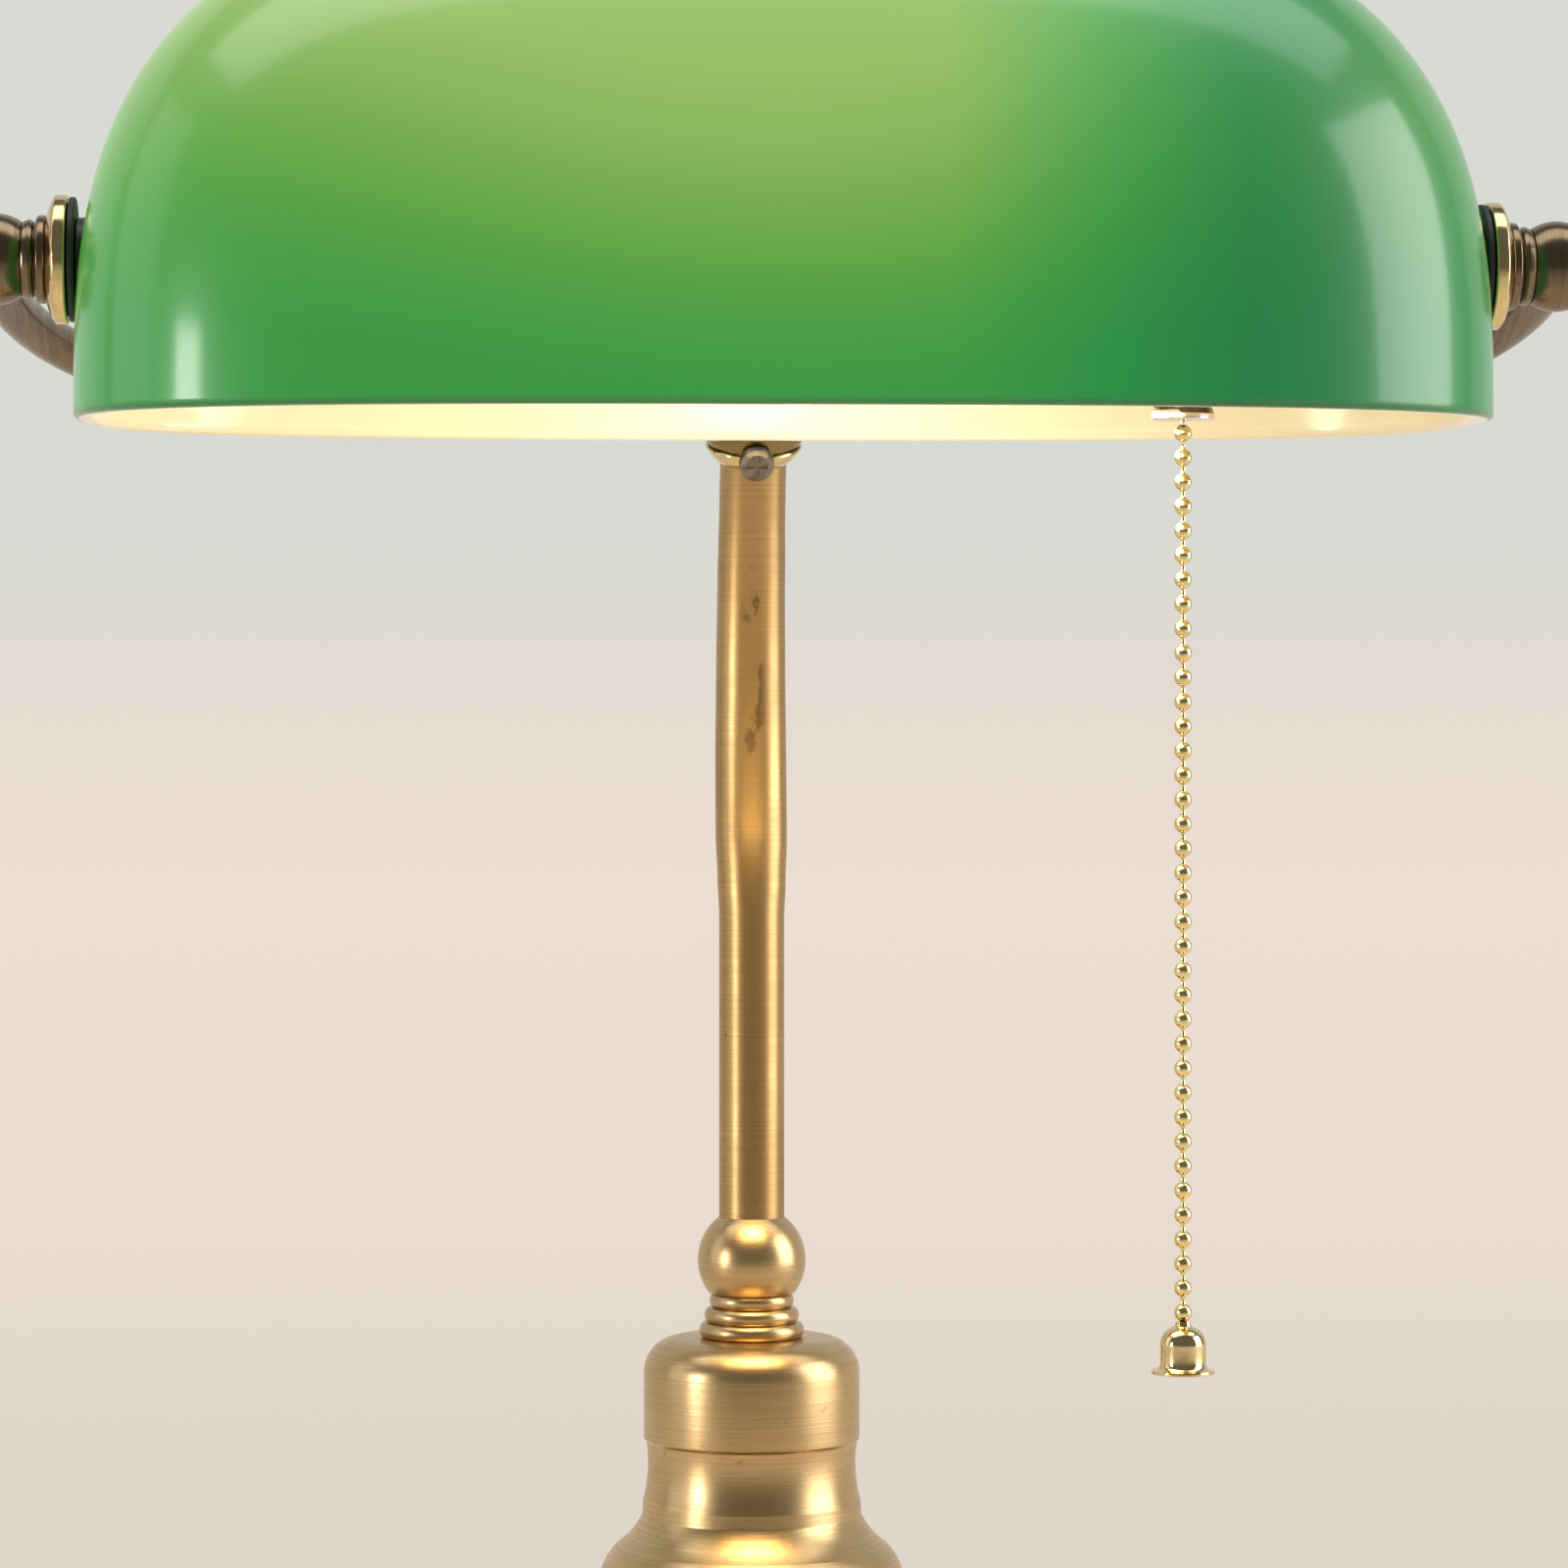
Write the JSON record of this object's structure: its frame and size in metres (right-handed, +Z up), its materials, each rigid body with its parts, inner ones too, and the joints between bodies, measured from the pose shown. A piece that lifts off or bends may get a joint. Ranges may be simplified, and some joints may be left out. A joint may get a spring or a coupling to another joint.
{
  "type": "desk lamp",
  "caption": "Banker desk lamp: long domed cased-glass shade tilting between the ends of a brass yoke, bent stem, turned weighted base and a bead pull chain.",
  "frame": {"origin": "centre of the felt underside of the round base", "axes": "+Z up the stem; +X towards the lampholder's end of the shade, the right-hand end seen from the front; the shade overhangs towards -Y, the front"},
  "size_m": [0.2934, 0.2453, 0.361],
  "materials": {
    "antique_brass": "satin antique, lathe brushed and lacquered",
    "dark_brass": "dark bronzed, satin",
    "polished_brass": "polished",
    "zinc_steel": "zinc plated",
    "screw_steel": "dark plated",
    "cast_iron": "rough cast",
    "felt": "pressed felt",
    "black_rubber": "matt",
    "nylon": "moulded nylon",
    "shade_glass": "cased glass, green outside and opal inside, gloss",
    "porcelain": "glazed",
    "bakelite": "moulded brown",
    "nickel": "nickel plated",
    "liner_card": "pressed fibre",
    "thread_metal": "rolled thread",
    "bulb_frost": "frosted, lit",
    "bulb_clear": "clear",
    "insulator_glass": "black glass",
    "tungsten": "wire",
    "wire_insulation": "gloss"
  },
  "bodies": {
    "stand": {"base_shell": "antique_brass", "ring_collar": "antique_brass", "stem_ball": "antique_brass", "stem_tube": "antique_brass", "hub_ball": "antique_brass", "left_arm": "dark_brass", "right_arm": "dark_brass", "left_elbow": "dark_brass", "right_elbow": "dark_brass", "left_neck_rings": "dark_brass", "right_neck_rings": "dark_brass", "left_cup": "polished_brass", "right_cup": "polished_brass", "hub_collar": "polished_brass", "socket_cap": "polished_brass", "socket_shell": "polished_brass", "base_plate": "zinc_steel", "neck_nipple": "zinc_steel", "neck_washer": "zinc_steel", "neck_nut": "zinc_steel", "left_nipple": "zinc_steel", "right_nipple": "zinc_steel", "left_nut": "zinc_steel", "right_nut": "zinc_steel", "plate_screws": "zinc_steel", "hub_screw": "screw_steel", "terminal_screws": "screw_steel", "base_weight": "cast_iron", "felt_pad": "felt", "left_rubber_washer": "black_rubber", "right_rubber_washer": "black_rubber", "cord_bushing": "nylon", "switch_housing": "porcelain", "chain_spout": "bakelite", "spout_ring": "nickel", "centre_contact": "nickel", "socket_liner": "liner_card", "screw_shell": "thread_metal", "inner_lead": "wire_insulation"},
    "shade": {"glass_shade": "shade_glass", "left_bush": "nylon", "right_bush": "nylon", "left_inner_washer": "black_rubber", "right_inner_washer": "black_rubber"},
    "pull": {"pull_rod": "zinc_steel", "switch_spring": "zinc_steel"},
    "drum": {"switch_drum": "bakelite"},
    "swivel": {"swivel_bead": "polished_brass"},
    "chain": {"chain_beads": "polished_brass", "chain_links": "polished_brass", "bell": "polished_brass"},
    "bulb": {"bulb_glass": "bulb_frost", "bulb_cap": "thread_metal", "bulb_insulator": "insulator_glass", "bulb_contact": "nickel", "bulb_mount": "bulb_clear", "bulb_filament": "tungsten"}
  },
  "joints": [
    {"name": "shade_tilt", "type": "hinge", "parent": "stand", "child": "shade", "pos_m": [0, -0.092, 0.294], "axis": [1, 0, 0], "range_deg": [-45, 45]},
    {"name": "chain_pull", "type": "slide", "parent": "stand", "child": "pull", "axis": [0, 0, -1], "range_m": [0, 0.008], "stiffness_N_per_m": 600, "springref_m": -0.003, "deforming": ["switch_spring"]},
    {"name": "drum_turn", "type": "hinge", "parent": "stand", "child": "drum", "pos_m": [0.077, -0.092, 0.292], "axis": [0, -1, 0], "range_deg": [-10, 110]},
    {"name": "chain_swing_front", "type": "hinge", "parent": "pull", "child": "swivel", "pos_m": [0.0715, -0.092, 0.264], "axis": [1, 0, 0], "range_deg": [-15, 15]},
    {"name": "chain_swing_side", "type": "hinge", "parent": "swivel", "child": "chain", "pos_m": [0.0715, -0.092, 0.264], "axis": [0, 1, 0], "range_deg": [-15, 15]},
    {"name": "bulb_out", "type": "slide", "parent": "stand", "child": "bulb", "axis": [-1, 0, 0], "range_m": [0, 0.03]}
  ],
  "couplings": [
    {"joint": "drum_turn", "follows": "chain_pull", "rad_per_m": 200}
  ]
}
